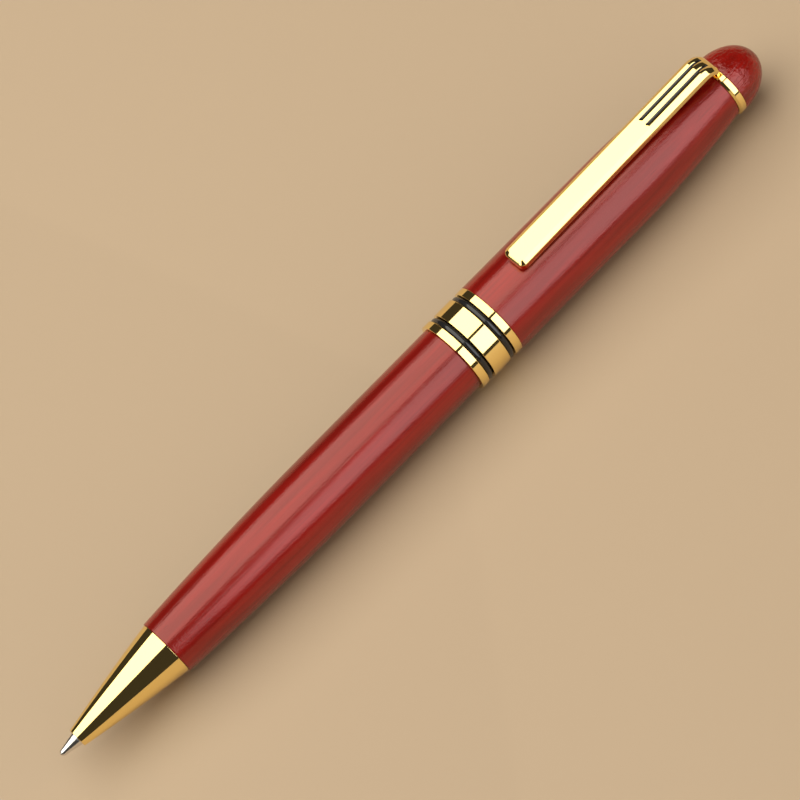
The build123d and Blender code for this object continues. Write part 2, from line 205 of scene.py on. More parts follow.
def rounded(corners, closed=True, steps=9):
    """Outline through rows of (x, radius, rounding). Each corner becomes a true arc of its
    rounding, which touches both of its sides. An open outline keeps its two end points."""
    table = np.array(corners, float)
    spot = table[:, :2]
    rounding = np.maximum(table[:, 2], SHARP)
    back = np.roll(spot, 1, 0) - spot
    ahead = np.roll(spot, -1, 0) - spot
    back /= np.linalg.norm(back, axis=1)[:, None]
    ahead /= np.linalg.norm(ahead, axis=1)[:, None]
    half = np.arccos(np.clip((back * ahead).sum(1), -0.9999, 0.9999)) / 2
    reach = rounding / np.tan(half)
    inward = back + ahead
    inward /= np.linalg.norm(inward, axis=1)[:, None]
    centre = spot + inward * (rounding / np.sin(half))[:, None]
    first = spot + back * reach[:, None] - centre
    last = spot + ahead * reach[:, None] - centre
    sweep = (pi - 2 * half)[:, None]
    share = np.linspace(0, 1, steps)[None, :]
    lead = (np.sin((1 - share) * sweep) / np.sin(sweep))[..., None]
    trail = (np.sin(share * sweep) / np.sin(sweep))[..., None]
    arcs = centre[:, None] + lead * first[:, None] + trail * last[:, None]
    if closed:
        return arcs.reshape(-1, 2)
    return np.vstack([spot[:1], arcs[1:-1].reshape(-1, 2), spot[-1:]])


def ring_outline(front, rear, bore, radius, edge, steps=9):
    """Outline of a plain ring with both outer rims rounded."""
    return rounded([
        (front, bore, 0),
        (front, radius, edge),
        (rear, radius, edge),
        (rear, bore, 0),
    ], steps=steps)


def spaced(outline, gap, closed=True):
    """The outline with its long runs divided, and a point close to each of their ends, which
    keeps flats flat beside their rounded corners."""
    support = 0.025 * MM
    points = np.vstack([outline, outline[:1]]) if closed else outline
    rows = []
    for start, end in zip(points[:-1], points[1:]):
        run = np.linalg.norm(end - start)
        rows.append(start[None])
        if run > 4 * support:
            count = 2 + int(run / gap)
            share = np.linspace(support / run, 1 - support / run, count)[:, None]
            rows.append(start + (end - start) * share)
    if not closed:
        rows.append(points[-1:])
    return np.vstack(rows)


def mesh_object(name, points, faces):
    """A smooth-shaded mesh object at the origin."""
    mesh = bpy.data.meshes.new(name)
    mesh.from_pydata(points.tolist(), [], faces)
    mesh.polygons.foreach_set("use_smooth", np.ones(len(mesh.polygons), bool))
    mesh.update()
    thing = bpy.data.objects.new(name, mesh)
    bpy.context.scene.collection.objects.link(thing)
    return thing


def grid_faces(rows, columns, wrap_rows):
    """Four-sided faces between neighbours of a grid of points, numbered row by row. Each row
    closes on itself, and the last row can close on the first."""
    row = np.arange(rows if wrap_rows else rows - 1)[:, None]
    column = np.arange(columns)[None, :]
    below = (row + 1) % rows
    beside = (column + 1) % columns
    corners = [
        row * columns + column,
        below * columns + column,
        below * columns + beside,
        row * columns + beside,
    ]
    return np.stack(corners, -1).reshape(-1, 4).tolist()


def end_fans(count, columns):
    """Three-sided faces that close both ends of a tube, whose points are numbered up to count
    in rows of that many columns. The next two points are the middles of the two ends."""
    here = np.arange(columns)
    beside = (here + 1) % columns
    last = count - columns
    front = np.stack([np.full(columns, count), here, beside], -1)
    rear = np.stack([np.full(columns, count + 1), last + beside, last + here], -1)
    return front.tolist() + rear.tolist()


def turned(name, outline, closed=True):
    """Surface of revolution: a point of the outline at x and radius r goes round the pen's axis,
    y = r sin(turn) and z = axis + r cos(turn). An open outline starts and ends on the axis,
    where one shared point closes each end."""
    segments = bpy.context.scene.pen_sizes.segments
    turn = np.linspace(0, 2 * pi, segments, endpoint=False)[None, :]
    body = outline if closed else outline[1:-1]
    x, r = body[:, :1], body[:, 1:]
    grid = np.stack([x + 0 * turn, r * np.sin(turn), AXIS_Z + r * np.cos(turn)], -1).reshape(-1, 3)
    faces = grid_faces(len(body), segments, closed)
    if closed:
        return mesh_object(name, grid, faces)
    poles = np.array([[outline[0, 0], 0, AXIS_Z], [outline[-1, 0], 0, AXIS_Z]])
    return mesh_object(name, np.vstack([grid, poles]), faces + end_fans(len(grid), segments))


def eased(share):
    """A share between 0 and 1 with a soft start and end."""
    share = np.clip(share, 0, 1)
    return share * share * (3 - 2 * share)


def arc_drop(along, run, drop):
    """How far an arc has dropped after a length, if it drops by drop over the whole run."""
    radius = (run * run + drop * drop) / (2 * drop)
    along = np.clip(along, 0, run)
    return radius - np.sqrt(radius * radius - along * along)


def curved_in(outline, bore, widest, narrow, along, run):
    """The outline with its walls scaled between the bore and the widest radius, so that its
    outer side drops to the narrow radius on an arc, by each point's length along the run."""
    x, r = outline.T
    outer = widest - arc_drop(along, run, widest - narrow)
    return np.stack([x, bore + (r - bore) * (outer - bore) / (widest - bore)], -1)


def finish_piece(thing, body, slot, *nodes, look=None):
    """Gives a piece its material and its CAD body, and hides the CAD nodes that it replaces.
    The material is the slot's own unless another look is named."""
    thing.data.materials.append(material_for(look or slot))
    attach(thing, body)
    if nodes:
        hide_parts(*nodes)


def turned_piece(node, body, slot, outline, closed=True, look=None):
    """Makes the turned piece that replaces a CAD node."""
    finish_piece(turned(node + "_visual", outline, closed), body, slot, node, look=look)


# Materials


def new_group(name, inputs, outputs):
    """An empty shader node group whose sockets are numbers: rows of (input, default), outputs."""
    group = bpy.data.node_groups.new(name, "ShaderNodeTree")
    kind = "NodeSocketFloat"
    for label, default in inputs:
        socket = group.interface.new_socket(label, in_out="INPUT", socket_type=kind)
        socket.default_value = default
    for label in outputs:
        group.interface.new_socket(label, in_out="OUTPUT", socket_type=kind)
    return group, group.nodes.new("NodeGroupInput"), group.nodes.new("NodeGroupOutput")


def add(tree, kind, links=(), **settings):
    """A node with its settings and its linked inputs: rows of (input, output socket or value)."""
    node = tree.nodes.new(kind)
    for key, value in settings.items():
        setattr(node, key, value)
    for key, value in links:
        if isinstance(value, bpy.types.NodeSocket):
            tree.links.new(value, node.inputs[key])
        else:
            node.inputs[key].default_value = value
    return node


def noise(tree, per_metre, detail, roughness=0.5, place=None):
    """Noise at a place, which is the piece's own unless another is given."""
    return add(tree, "ShaderNodeTexNoise", [
        ("Vector", place or add(tree, "ShaderNodeTexCoord").outputs["Object"]),
        ("Scale", per_metre),
        ("Detail", detail),
        ("Roughness", roughness),
    ]).outputs["Fac"]


def combined(tree, operation, first, second, kind="ShaderNodeMath"):
    """The result of a sum or product of two inputs, each a socket or a value."""
    return add(tree, kind, [(0, first), (1, second)], operation=operation).outputs[0]


def streaks_group():
    """Long fibres: noise drawn out along the pen, at any width, cut to a soft threshold."""
    if "Wood fibres" in bpy.data.node_groups:
        return bpy.data.node_groups["Wood fibres"]
    group, given, result = new_group(
        "Wood fibres",
        [("Per metre", 2000), ("Stretch", 0.03), ("From", 0.35), ("To", 0.65)],
        ["Mask"],
    )
    place = add(group, "ShaderNodeTexCoord").outputs["Object"]
    rows = [("X", given.outputs["Stretch"]), ("Y", 1.0), ("Z", 1.0)]
    squeeze = add(group, "ShaderNodeCombineXYZ", rows)
    drawn = combined(group, "MULTIPLY", place, squeeze.outputs[0], kind="ShaderNodeVectorMath")
    cut = add(group, "ShaderNodeMapRange", [
        ("Value", noise(group, given.outputs["Per metre"], 3, 0.6, drawn)),
        ("From Min", given.outputs["From"]),
        ("From Max", given.outputs["To"]),
    ], interpolation_type="SMOOTHSTEP")
    group.links.new(cut.outputs[0], result.inputs["Mask"])
    return group


def handling_group():
    """Signs of use on a polished surface: a slow clouding of the polish and a faint unevenness."""
    if "Handling marks" in bpy.data.node_groups:
        return bpy.data.node_groups["Handling marks"]
    group, given, result = new_group(
        "Handling marks",
        [("Polish", 0.05), ("Clouding", 0.02), ("Per metre", 900)],
        ["Roughness", "Height"],
    )
    cloud = noise(group, given.outputs["Per metre"], 4, 0.65)
    more = combined(group, "MULTIPLY", cloud, given.outputs["Clouding"])
    rough = combined(group, "ADD", more, given.outputs["Polish"])
    group.links.new(rough, result.inputs["Roughness"])
    group.links.new(noise(group, 2600, 2), result.inputs["Height"])
    return group


def new_material(name):
    """An empty material with a Principled shader: (material, tree, shader)."""
    material = bpy.data.materials.new(name)
    material.use_nodes = True
    tree = material.node_tree
    return material, tree, tree.nodes["Principled BSDF"]


def mixed(tree, share, first, second):
    """A colour between two colours, each a socket or a plain colour."""
    node = tree.nodes.new("ShaderNodeMix")
    node.data_type = "RGBA"
    tree.links.new(share, node.inputs["Factor"])
    for key, value in ((6, first), (7, second)):
        if isinstance(value, bpy.types.NodeSocket):
            tree.links.new(value, node.inputs[key])
        else:
            node.inputs[key].default_value = (*value, 1)
    return node.outputs[2]


def bump_to(tree, shader, height, distance):
    """Feeds a height to the shader's normal."""
    rows = [("Strength", 1.0), ("Distance", distance), ("Height", height)]
    tree.links.new(add(tree, "ShaderNodeBump", rows).outputs[0], shader.inputs["Normal"])


def fibres(tree, per_metre, stretch, start, end):
    """Mask of the wood's fibres: how fine they are, how short, and the soft threshold."""
    rows = [("Per metre", per_metre), ("Stretch", stretch), ("From", start), ("To", end)]
    return add(tree, "ShaderNodeGroup", rows, node_tree=streaks_group()).outputs[0]


def wood(name, lacquer, grain_height, grit_per_metre):
    """Red-stained close-grained wood under satin lacquer: broad colour drift, fine fibres,
    short dark pores and the fine unevenness of the lacquer."""
    look = bpy.context.scene.pen_finishes
    material, tree, shader = new_material(name)
    drift = fibres(tree, 330, 0.07, 0.36, 0.66)
    fine = fibres(tree, 2300, 0.022, 0.42, 0.7)
    pores = fibres(tree, 4200, 0.045, 0.69, 0.76)
    base = mixed(tree, drift, look.wood_light, look.wood_dark)
    base = mixed(tree, combined(tree, "MULTIPLY", fine, 0.5), base, look.wood_dark)
    base = mixed(tree, pores, base, look.wood_pore)
    tree.links.new(base, shader.inputs["Base Color"])
    shader.inputs["Roughness"].default_value = lacquer
    shader.inputs["Specular IOR Level"].default_value = 1.0
    shader.inputs["Specular Tint"].default_value = (*look.lacquer_tint, 1)
    sunk = combined(tree, "MULTIPLY", fine, -0.35)
    height = combined(tree, "ADD", noise(tree, grit_per_metre, 3), sunk)
    bump_to(tree, shader, height, grain_height)
    return material


def polished(name, metallic, colour, polish, clouding, per_metre, height):
    """Metal, plastic or ink whose polish clouds a little and which is very slightly uneven."""
    material, tree, shader = new_material(name)
    shader.inputs["Base Color"].default_value = (*colour, 1)
    shader.inputs["Metallic"].default_value = metallic
    rows = [("Polish", polish), ("Clouding", clouding), ("Per metre", per_metre)]
    marks = add(tree, "ShaderNodeGroup", rows, node_tree=handling_group())
    tree.links.new(marks.outputs["Roughness"], shader.inputs["Roughness"])
    bump_to(tree, shader, marks.outputs["Height"], height * MM)
    return material


def material_for(slot):
    """The material of a slot, made at its first use. Its name differs from the slot's, which
    the CAD model's own plain materials have."""
    look = bpy.context.scene.pen_finishes
    name = slot + "_look"
    if name in bpy.data.materials:
        return bpy.data.materials[name]
    if slot == "red_wood":
        return wood(name, look.lacquer, 0.018 * MM, 3600)
    if slot == "finial_wood":
        return wood(name, 0.1, 0.11 * MM, 1500)
    # Metallic, colour, roughness, clouding, clouds per metre, unevenness in millimetres
    finishes = {
        "gold_plate": (1, look.gold, look.gold_polish, 0.03, 900, 0.0004),
        "turned_brass": (1, look.brass, 0.16, 0.14, 2500, 0.002),
        "tip_steel": (1, look.steel, 0.14, 0.12, 1800, 0.0015),
        "spring_steel": (1, look.steel, 0.2, 0.1, 2500, 0.001),
        "refill_steel": (1, look.steel, 0.27, 0.12, 1800, 0.002),
        "black_gloss": (0, look.black, 0.1, 0.06, 900, 0.0006),
        "white_plastic": (0, look.plastic, 0.4, 0.15, 1500, 0.003),
        "ink": (0, look.ink, 0.12, 0.08, 900, 0.001),
    }
    return polished(name, *finishes[slot])


# Pieces


class PEN_OT_nose(bpy.types.Operator):
    """Makes the gold-coloured nose cone with its shank and bores"""

    bl_idname = "twist_pen.nose"
    bl_label = "Nose cone"

    def execute(self, context):
        size = context.scene.pen_sizes
        front, shank_end, widest = ends("nose_cone")
        rear = ends("lower_barrel")[0] - size.seat
        bore = ends("refill_tube")[2] + size.refill_play
        spring_front, spring_rear, spring = ends("return_spring")
        chamber = spring_rear + size.seat
        seat_at = spring_front - size.seat
        tube_at = ends("refill_tube")[0] - size.seat
        mouth = ends("writing_tip")[2] + size.nose_play
        spring_room = spring + size.spring_play
        lip = mouth + size.lip_wall
        shank = bore + size.guide_wall
        outline = rounded([
            (front, mouth, 0.03 * MM),
            (front, lip, 0.08 * MM),
            (rear, widest, size.nose_edge),
            (rear, shank, 0),
            (shank_end, shank, 0.15 * MM),
            (shank_end, bore, 0),
            (tube_at, bore, 0),
            (chamber, spring_room, 0),
            (seat_at, spring_room, 0),
            (seat_at, mouth, 0),
        ])
        outline = spaced(outline, 0.5 * MM)
        # Only the outer side swells: the points close to a straight cone or outside it
        share = np.clip((outline[:, 0] - front) / (rear - front), 0, 1)
        close = 0.1 * MM
        side = outline[:, 1] > lip + share * (widest - lip) - close
        swell = 4 * size.nose_swell * share * (1 - share)
        outline[:, 1] += np.where(side & (outline[:, 0] < rear), swell, 0)
        turned_piece("nose_cone", "nose", "gold_plate", outline)
        return {"FINISHED"}


class PEN_OT_tip(bpy.types.Operator):
    """Makes the refill's steel tip with its rolled lip, and the writing ball"""

    bl_idname = "twist_pen.tip"
    bl_label = "Writing tip"

    def execute(self, context):
        size = context.scene.pen_sizes
        front, shank_end, widest = ends("writing_tip")
        ball_front, ball_rear, ball = ends("writing_ball")
        neck = widest - 0.37 * MM
        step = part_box("refill_nose")[0].x - size.seat
        socket = 0.93 * (ball + size.seat)
        ink_hole = 0.25 * MM
        middle = (ball_front + ball_rear) / 2
        outline = rounded([
            (middle + ink_hole, ink_hole, 0),
            (front + size.seat, socket, 0),
            (front, ball + 0.05 * MM, 0.02 * MM),
            (front + 0.12 * MM, ball + 0.12 * MM, 0.04 * MM),
            (front + 0.55 * MM, ball + 0.2 * MM, 0.1 * MM),
            (front + 2.6 * MM, widest * 0.86, 1.2 * MM),
            (front + 4.9 * MM, widest, 1.2 * MM),
            (step, widest, 0.05 * MM),
            (step, neck, 0),
            (shank_end, neck, 0.05 * MM),
            (shank_end, ink_hole, 0),
        ])
        turned_piece("writing_tip", "refill", "tip_steel", spaced(outline, 0.3 * MM))
        # The ball is a half circle from its front pole to its rear pole
        angle = np.linspace(0, pi, 33)
        globe = np.stack([middle - ball * np.cos(angle), ball * np.sin(angle)], -1)
        turned_piece("writing_ball", "ball", "tip_steel", globe, closed=False)
        return {"FINISHED"}


class PEN_OT_barrels(bpy.types.Operator):
    """Makes the two wooden barrels, straight at the band and curved in towards their ends"""

    bl_idname = "twist_pen.barrels"
    bl_label = "Wooden barrels"

    def execute(self, context):
        size = context.scene.pen_sizes
        gap = 0.8 * MM
        front, rear, widest = ends("lower_barrel")
        bore = ends("lower_liner")[2] + size.seat
        narrow = bore + size.front_wood
        lower = spaced(ring_outline(front, rear, bore, widest, size.wood_edge), gap)
        run = size.front_curve
        lower = curved_in(lower, bore, widest, narrow, front + run - lower[:, 0], run)
        turned_piece("lower_barrel", "front_half", "red_wood", lower)

        front, rear, widest = ends("upper_barrel")
        liner_end = ends("upper_liner")[1] + size.seat
        liner = ends("upper_liner")[2] + size.seat
        stud_bore = ends("top_bushing")[2] + size.seat
        bushing_at = ends("top_bushing")[0] - size.seat
        chamber = ends("cam_sleeve")[2] + size.refill_play
        narrow = stud_bore + size.rear_wood
        upper = rounded([
            (front, liner, 0),
            (front, widest, size.wood_edge),
            (rear, widest, size.wood_edge),
            (rear, stud_bore, 0),
            (bushing_at, stud_bore, 0),
            (bushing_at, chamber, 0),
            (liner_end, chamber, 0),
            (liner_end, liner, 0),
        ])
        upper = spaced(upper, gap)
        run = size.rear_curve
        upper = curved_in(upper, stud_bore, widest, narrow, upper[:, 0] - (rear - run), run)
        turned_piece("upper_barrel", "rear_half", "red_wood", upper)
        return {"FINISHED"}


class PEN_OT_band(bpy.types.Operator):
    """Makes the centre band: two trim rings, two black rings and the wide sleeve"""

    bl_idname = "twist_pen.band"
    bl_label = "Centre band"

    def execute(self, context):
        size = context.scene.pen_sizes
        guide = ends("refill_tube")[2] + size.refill_play + size.guide_wall + size.seat
        coupler = ends("guide_tube")[2] + size.seat
        flange = ends("coupler")[2] + size.seat
        edge = size.ring_edge
        gap = 0.4 * MM
        for node, body, bore in (
            ("front_trim_ring", "front_half", guide),
            ("rear_trim_ring", "rear_half", coupler),
        ):
            front, rear, radius = ends(node)
            outline = ring_outline(front, rear, bore, radius, edge)
            turned_piece(node, body, "gold_plate", spaced(outline, gap))
        # The black rings are nearly half round
        for node, body in (("front_black_ring", "front_half"), ("rear_black_ring", "rear_half")):
            front, rear, radius = ends(node)
            shoulder = 0.48 * (rear - front)
            outline = ring_outline(front, rear, coupler, radius, shoulder, steps=15)
            turned_piece(node, body, "black_gloss", spaced(outline, gap / 2))
        # The sleeve's front is wider inside, where it goes over the coupler's flange
        front, rear, radius = ends("centre_sleeve")
        flange_length = 0.5 * MM
        recess = front + flange_length + size.seat
        outline = rounded([
            (front, flange, 0),
            (front, radius, edge),
            (rear, radius, edge),
            (rear, coupler, 0),
            (recess, coupler, 0),
            (recess, flange, 0),
        ])
        turned_piece("centre_sleeve", "rear_half", "gold_plate", spaced(outline, gap))
        return {"FINISHED"}


class PEN_OT_finial(bpy.types.Operator):
    """Makes the wooden dome and the collar under it, with the slot for the clip's tang"""

    bl_idname = "twist_pen.finial"
    bl_label = "Finial and collar"

    def execute(self, context):
        size = context.scene.pen_sizes
        front, rear, radius = ends("finial")
        socket_end = ends("finial_stud")[1] + size.seat
        socket = ends("finial_stud")[2] + size.seat
        # The dome is a quarter of an ellipse from its base to its pole
        angle = np.linspace(0, pi / 2, 49)[1:-1]
        dome = np.stack([front + (rear - front) * np.sin(angle), radius * np.cos(angle)], -1)
        base = rounded([
            (socket_end, 0, 0),
            (socket_end, socket, 0),
            (front, socket, 0),
            (front, radius, 0.08 * MM),
            tuple(dome[0]) + (0,),
        ], closed=False)
        outline = np.vstack([spaced(base, 0.4 * MM, closed=False), dome[1:], [[rear, 0]]])
        turned_piece("finial", "rear_half", "red_wood", outline, closed=False, look="finial_wood")

        front, rear, radius = ends("clip_collar")
        chamfer = 0.3 * MM
        outline = rounded([
            (front, socket, 0),
            (front, radius - chamfer, 0.06 * MM),
            (front + chamfer, radius, 0.12 * MM),
            (rear, radius, 0.1 * MM),
            (rear, socket, 0),
        ])
        thing = turned("clip_collar_visual", spaced(outline, 0.3 * MM))
        cut_tang_slot(thing)
        finish_piece(thing, "rear_half", "gold_plate", "clip_collar")
        return {"FINISHED"}


def cut_tang_slot(collar):
    """Cuts the slot for the clip's tang from the collar, by a box a little larger than the tang."""
    size = bpy.context.scene.pen_sizes
    collar_top = AXIS_Z + ends("clip_collar")[2]
    tang_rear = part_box("clip")[1].x
    play = 0.12 * MM
    clear = 1 * MM
    half = size.tang_width / 2 + play
    corners = np.array([
        (x, y, z)
        for x in (tang_rear - size.tang_depth - play, tang_rear + play)
        for y in (-half, half)
        for z in (collar_top - size.tang_reach - play, collar_top + clear)
    ])
    faces = [(0, 1, 3, 2), (4, 6, 7, 5), (0, 4, 5, 1), (2, 3, 7, 6), (0, 2, 6, 4), (1, 5, 7, 3)]
    cutter = mesh_object("tang_slot_cutter", corners, faces)
    cut = collar.modifiers.new("Tang slot", "BOOLEAN")
    cut.operation = "DIFFERENCE"
    cut.solver = "EXACT"
    cut.object = cutter
    graph = bpy.context.evaluated_depsgraph_get()
    shape = bpy.data.meshes.new_from_object(collar.evaluated_get(graph))
    collar.modifiers.clear()
    collar.data = shape
    bpy.data.objects.remove(cutter)


class PEN_OT_clip(bpy.types.Operator):
    """Makes the pocket clip: a bevelled arm with two cut lines, a bent root, a tang and a pad"""

    bl_idname = "twist_pen.clip"
    bl_label = "Pocket clip"

    def execute(self, context):
        arm = clip_arm()
        finish_piece(arm, "clip", "gold_plate", "clip")
        # The two cut lines take the black rings' material: painted shade in the lines
        arm.data.materials.append(material_for("black_gloss"))
        finish_piece(clip_pad(), "clip", "gold_plate")
        return {"FINISHED"}


def clip_path(along):
    """Top line of the clip for distances from its front end: a straight rise, a circular bend
    and a straight drop. Gives x, z and the outward direction there, and the bend's two ends."""
    size = bpy.context.scene.pen_sizes
    low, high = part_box("clip")
    start = np.array([low.x, AXIS_Z + size.clip_front_height])
    slope = np.arctan2(high.z - start[1], high.x - size.clip_crest - low.x)
    turn = pi / 2 + slope
    radius = size.clip_bend
    straight = (high.x - radius * (1 + sin(slope)) - low.x) / cos(slope)
    bend_end = straight + radius * turn
    angle = np.clip((along - straight) / radius, 0, turn) - slope
    run = np.minimum(along, straight)
    drop = np.maximum(along - bend_end, 0)
    x = start[0] + run * cos(slope) + radius * (np.sin(angle) + sin(slope))
    z = start[1] + run * sin(slope) + radius * (np.cos(angle) - cos(slope)) - drop
    return x, z, np.sin(angle), np.cos(angle), straight, bend_end


def clip_place(along, across, down):
    """Points of the clip from the distance along its top line, across the pen, and down into
    it. It gets thinner round the bend, and narrower shortly before the bend's end."""
    size = bpy.context.scene.pen_sizes
    x, z, out_x, out_z, straight, bend_end = clip_path(along)
    thin = eased((along - straight) / (bend_end - straight))
    depth = down * (1 + thin * (size.tang_depth / size.clip_depth - 1))
    waist_at = bend_end - 1.1 * MM
    waist_run = 0.5 * MM
    waist = eased((along - waist_at) / waist_run)
    low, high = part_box("clip")
    width = across * (1 + waist * (size.tang_width / (high.y - low.y) - 1))
    return np.stack([x - depth * out_x, width, z - depth * out_z], -1)


def clip_arm():
    """Closed shell: a loop round the clip's plan, with round front corners, is carried down an
    outline of inset and depth that gives bevel, wall and underside. The face inside the first
    loop is a grid whose columns follow the two cut lines. Those get the second material, the
    black rings' black, as painted shade in the cut lines."""
    size = bpy.context.scene.pen_sizes
    low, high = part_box("clip")
    straight, bend_end = clip_path(np.array([0.0]))[4:]
    tang_end = AXIS_Z + ends("clip_collar")[2] - size.tang_reach
    total = bend_end + (high.z - size.clip_bend) - tang_end
    half = (high.y - low.y) / 2
    corner = size.clip_corner
    flat = half - corner
    cut = size.groove_width / 2
    ease = 0.02 * MM
    edges = [size.groove_spacing / 2 + offset for offset in (-cut, -cut + ease, cut - ease, cut)]
    side = np.array([0.0, 0.12 * MM, *edges, flat])
    columns = np.concatenate([-side[:0:-1], side])
    corner_turn = np.linspace(0, pi / 2, 10)[1:-1]
    groove_end = straight + 0.7 * size.clip_bend
    groove_start = groove_end - size.groove_length
    ramp = 0.16 * MM
    ramp_rows = np.array([0, 0.5, 1]) * ramp
    rows = np.unique(np.round(np.concatenate([
        np.linspace(corner, straight, 60),
        np.linspace(straight, bend_end, 28),
        np.linspace(bend_end, total - 0.25 * MM, 6),
        groove_start + ramp_rows,
        groove_end - ramp_rows,
    ]), 8))

    def loop(inset):
        """The plan loop at an inset: front edge, right corner and side, rear edge, left side."""
        reach = corner - inset
        front = np.stack([np.full(len(columns), corner - reach), columns], -1)
        turn_along = corner - reach * np.cos(corner_turn)
        turn = np.stack([turn_along, flat + reach * np.sin(corner_turn)], -1)
        right = np.stack([rows, np.full(len(rows), flat + reach)], -1)
        rear_at = total - min(inset, 0.2 * MM)
        rear = np.stack([np.full(len(columns), rear_at), columns[::-1]], -1)
        mirror = np.array([1, -1])
        return np.vstack([front, turn, right, rear, (right * mirror)[::-1], (turn * mirror)[::-1]])

    # Inset and depth down the side in millimetres: rim of the face, bevel, upright wall and
    # underside, with points close to both ends of each
    bevel = (half - size.clip_face / 2) / MM
    drop = size.clip_bevel / MM
    depth = size.clip_depth / MM
    wall = MM * np.array([
        (bevel + 0.05, 0),
        (bevel + 0.02, 0),
        (bevel, 0.008),
        (bevel - 0.03, 0.03),
        (0.1, drop - 0.075),
        (0.045, drop - 0.03),
        (0.012, drop + 0.02),
        (0, drop + 0.09),
        (0, drop + 0.13),
        (0, depth - 0.24),
        (0, depth - 0.2),
        (0.015, depth - 0.12),
        (0.06, depth - 0.05),
        (0.13, depth - 0.012),
        (0.2, depth),
        (0.25, depth),
    ])
    plans = [loop(inset) for inset in wall[:, 0]]
    around = len(plans[0])
    points = [clip_place(*np.concatenate(plans).T, np.repeat(wall[:, 1], around))]
    faces = grid_faces(len(wall), around, False)
    count = len(wall) * around

    # Face and underside: rows of the loop are joined across through the columns
    sides = len(columns)
    turns = len(corner_turn)
    # Marks the faces of the two cut lines, which are painted black as painted shade
    painted_shade_faces = np.zeros(len(faces), bool)

    def in_line(across):
        """Whether a place across the clip lies in one of the two cut lines."""
        return np.abs(np.abs(across) - size.groove_spacing / 2) < cut - ease / 2

    in_cut = in_line((columns[1:] + columns[:-1]) / 2)
    right_row = np.concatenate([sides + np.arange(turns), sides + turns + np.arange(len(rows))])
    left_row = around - 1 - np.arange(turns + len(rows))
    for level, top in ((0, True), (len(wall) - 1, False)):
        row_along = plans[level][right_row, 0]
        along = row_along[:, None] + 0 * columns[None, 1:-1]
        across = columns[None, 1:-1] + 0 * along
        down = np.full(along.shape, wall[level][1])
        if top:
            fade_in = np.clip((along - groove_start) / ramp, 0, 1)
            fade_out = np.clip((groove_end - along) / ramp, 0, 1)
            down = np.where(in_line(across), size.groove_depth * fade_in * fade_out, down)
        inner = clip_place(along, across, down).reshape(-1, 3)
        points.append(inner)
        base = level * around
        number = np.empty((len(right_row) + 2, sides), int)
        number[0] = base + np.arange(sides)
        number[1:-1, 1:-1] = count + np.arange(len(inner)).reshape(len(right_row), sides - 2)
        number[1:-1, -1] = base + right_row
        number[1:-1, 0] = base + left_row
        number[-1] = base + sides + turns + len(rows) + np.arange(sides)[::-1]
        count += len(inner)
        row_at = np.concatenate([[0], row_along, [total]])
        row_mid = (row_at[1:] + row_at[:-1]) / 2
        in_run = (row_mid > groove_start) & (row_mid < groove_end) & top
        painted_shade_faces = np.concatenate([painted_shade_faces, (in_run[:, None] & in_cut[None, :]).ravel()])
        quads = [number[:-1, :-1], number[1:, :-1], number[1:, 1:], number[:-1, 1:]]
        quads = np.stack(quads, -1).reshape(-1, 4)
        faces += (quads[:, ::-1] if top else quads).tolist()
    thing = mesh_object("clip_visual", np.concatenate(points), faces)
    # Faces in the cut lines get the black material: painted shade
    thing.data.polygons.foreach_set("material_index", painted_shade_faces.astype(int))
    return face_outwards(thing)


def face_outwards(thing):
    """Turns the faces outwards if the shell's volume comes out negative."""
    mesh = thing.data
    mesh.calc_loop_triangles()
    corner = np.zeros(len(mesh.loop_triangles) * 3, int)
    mesh.loop_triangles.foreach_get("vertices", corner)
    spot = np.zeros(len(mesh.vertices) * 3)
    mesh.vertices.foreach_get("co", spot)
    a, b, c = spot.reshape(-1, 3)[corner.reshape(-1, 3)].transpose(1, 0, 2)
    if (a * np.cross(b, c)).sum() < 0:
        mesh.flip_normals()
    return thing


def clip_pad():
    """Pill-shaped foot under the clip's front end: a ball stretched to three half-lengths, with
    its cosines and sines raised to a power below one, which squares it off."""
    size = bpy.context.scene.pen_sizes
    over_barrel = 0.05 * MM
    under_face = 0.6 * MM
    setback = 1.75 * MM
    bottom = AXIS_Z + ends("upper_barrel")[2] + over_barrel
    top = AXIS_Z + size.clip_front_height - under_face
    middle = np.array([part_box("clip")[0].x + setback, 0, (bottom + top) / 2])
    reach = np.array([1.6 * MM, 1.62 * MM, (top - bottom) / 2])

    def squared(value):
        """A cosine or sine to the power, with its sign kept."""
        return np.sign(value) * np.abs(value) ** 0.75

    rise = np.linspace(-pi / 2, pi / 2, 33)[1:-1][:, None]
    turn = np.linspace(0, 2 * pi, 64, endpoint=False)[None, :]
    ring = squared(np.cos(rise))
    grid = np.stack([
        middle[0] + reach[0] * ring * squared(np.cos(turn)),
        middle[1] + reach[1] * ring * squared(np.sin(turn)),
        middle[2] + reach[2] * squared(np.sin(rise)) + 0 * turn,
    ], -1)
    rows, columns = grid.shape[:2]
    poles = middle + np.array([[0, 0, -1], [0, 0, 1]]) * reach[2]
    faces = grid_faces(rows, columns, False) + end_fans(rows * columns, columns)
    points = np.vstack([grid.reshape(-1, 3), poles])
    return face_outwards(mesh_object("clip_pad_visual", points, faces))


